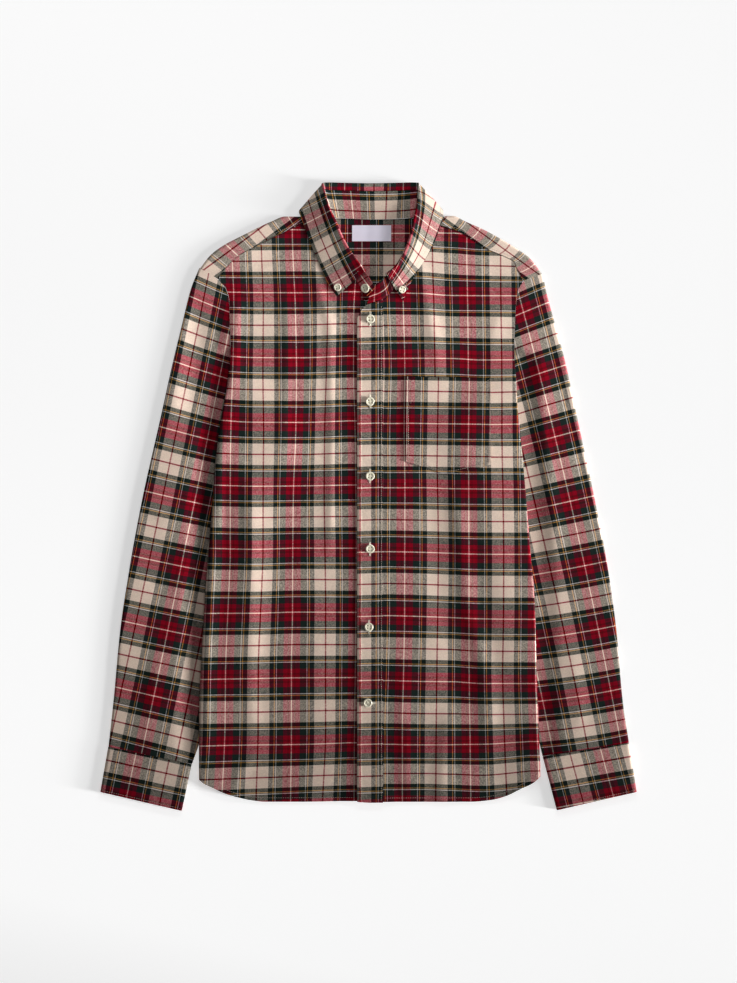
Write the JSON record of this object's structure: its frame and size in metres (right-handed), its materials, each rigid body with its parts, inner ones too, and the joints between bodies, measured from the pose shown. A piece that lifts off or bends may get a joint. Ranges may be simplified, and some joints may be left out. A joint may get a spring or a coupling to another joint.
{
  "type": "long-sleeved oxford shirt",
  "caption": "Long-sleeved tartan oxford shirt with a button-down collar, chest pocket, front placket and curved hem, laid flat with its front up.",
  "frame": {"origin": "middle of the plan outline, on the surface that the shirt lies on", "axes": "+X to the viewer's right, +Y up to the collar, +Z off the surface"},
  "size_m": [0.6866, 0.8045, 0.0201],
  "materials": {
    "plaid_cloth": "tartan oxford cloth, matt",
    "label_cloth": "woven label, blank",
    "button_ivory": "ivory, glossy"
  },
  "bodies": {
    "root": {"back": "plaid_cloth", "yoke": "plaid_cloth", "front_right": "plaid_cloth", "front_left": "plaid_cloth", "placket": "plaid_cloth", "pocket": "plaid_cloth", "collar_stand": "plaid_cloth", "collar_leaf": "plaid_cloth", "sleeve_right": "plaid_cloth", "sleeve_left": "plaid_cloth", "cuff_right": "plaid_cloth", "cuff_left": "plaid_cloth", "label": "label_cloth", "button_stand": "button_ivory", "button_point_left": "button_ivory", "button_point_right": "button_ivory", "button_front_1": "button_ivory", "button_front_2": "button_ivory", "button_front_3": "button_ivory", "button_front_4": "button_ivory", "button_front_5": "button_ivory", "button_front_6": "button_ivory"}
  },
  "joints": []
}
